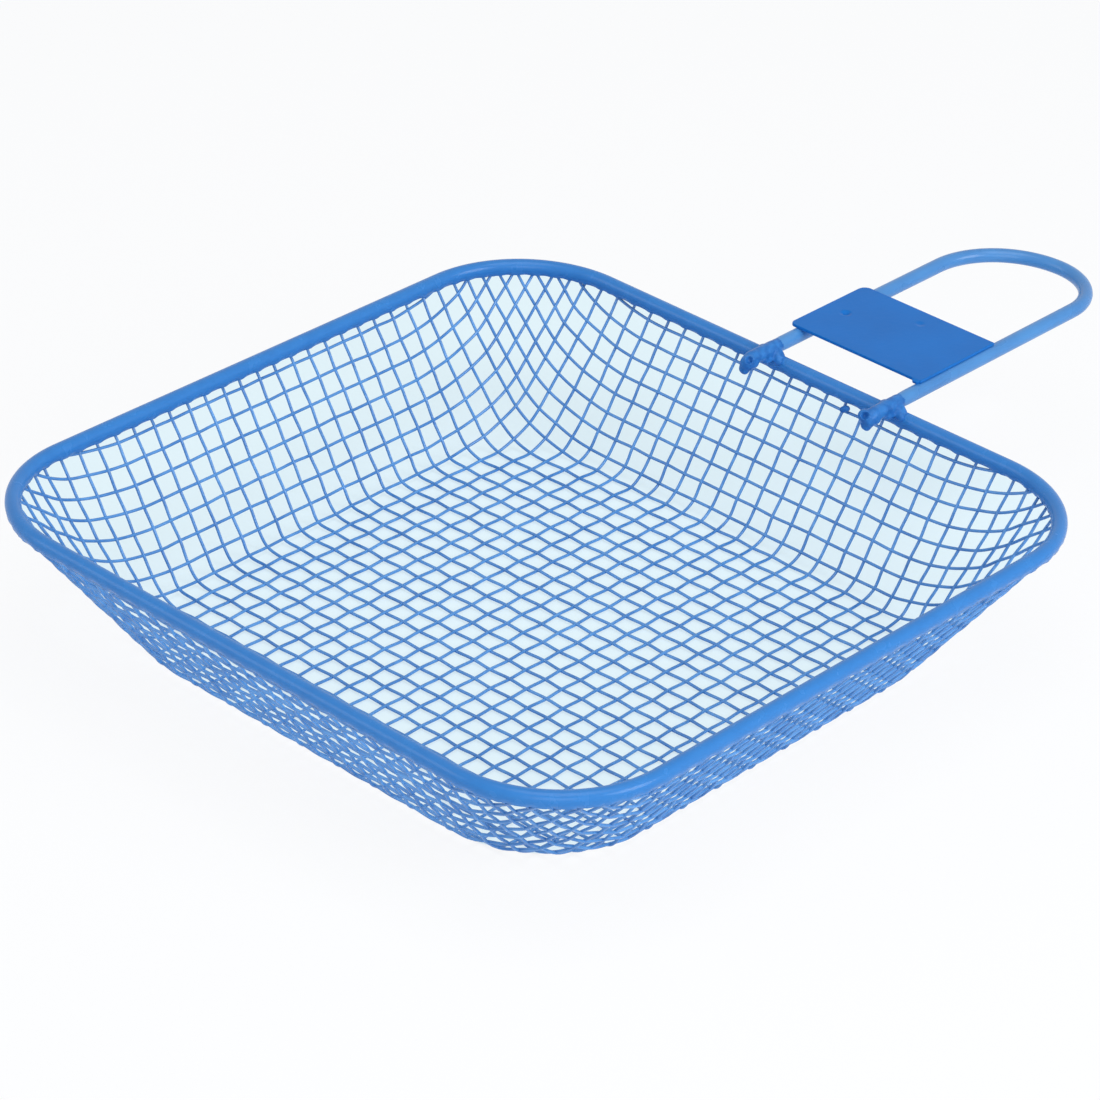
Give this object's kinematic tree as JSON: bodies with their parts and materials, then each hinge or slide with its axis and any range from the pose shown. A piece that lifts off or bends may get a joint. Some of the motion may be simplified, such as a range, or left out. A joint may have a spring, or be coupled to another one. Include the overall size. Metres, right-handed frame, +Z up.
{
  "type": "leaf skimmer net",
  "caption": "Square tray of pressed woven wire cloth with a folded rim and a flat wire loop handle carrying a thumb plate, all in one blue coat.",
  "frame": {"origin": "middle of the tray, on the underside of its floor wires", "axes": "+Z up out of the tray's open top, +X from the tray along the handle, +Y to the side the handle is shifted away from"},
  "size_m": [0.3633, 0.25, 0.0552],
  "materials": {
    "cloth_coat": "thick glossy blue dip coat over steel wire",
    "rim_coat": "thick glossy blue dip coat over folded steel strip",
    "handle_coat": "thick glossy blue dip coat over steel wire",
    "plate_coat": "smooth glossy blue dip coat over steel sheet",
    "bare_wire": "drawn steel wire, hidden inside the rim"
  },
  "bodies": {
    "root": {"cross_wire_00": "cloth_coat", "cross_wire_01": "cloth_coat", "cross_wire_02": "cloth_coat", "cross_wire_03": "cloth_coat", "cross_wire_04": "cloth_coat", "cross_wire_05": "cloth_coat", "cross_wire_06": "cloth_coat", "cross_wire_07": "cloth_coat", "cross_wire_08": "cloth_coat", "cross_wire_09": "cloth_coat", "cross_wire_10": "cloth_coat", "cross_wire_11": "cloth_coat", "cross_wire_12": "cloth_coat", "cross_wire_13": "cloth_coat", "cross_wire_14": "cloth_coat", "cross_wire_15": "cloth_coat", "cross_wire_16": "cloth_coat", "cross_wire_17": "cloth_coat", "cross_wire_18": "cloth_coat", "cross_wire_19": "cloth_coat", "cross_wire_20": "cloth_coat", "long_wire_01": "cloth_coat", "long_wire_02": "cloth_coat", "long_wire_03": "cloth_coat", "long_wire_04": "cloth_coat", "long_wire_05": "cloth_coat", "long_wire_06": "cloth_coat", "long_wire_07": "cloth_coat", "long_wire_08": "cloth_coat", "long_wire_09": "cloth_coat", "long_wire_10": "cloth_coat", "long_wire_11": "cloth_coat", "long_wire_12": "cloth_coat", "long_wire_13": "cloth_coat", "long_wire_14": "cloth_coat", "long_wire_15": "cloth_coat", "long_wire_16": "cloth_coat", "long_wire_17": "cloth_coat", "long_wire_18": "cloth_coat", "long_wire_19": "cloth_coat", "long_wire_20": "cloth_coat", "rim_channel": "rim_coat", "rim_stiffener": "bare_wire", "handle_loop": "handle_coat", "handle_welds": "handle_coat", "thumb_plate": "plate_coat"}
  },
  "joints": []
}
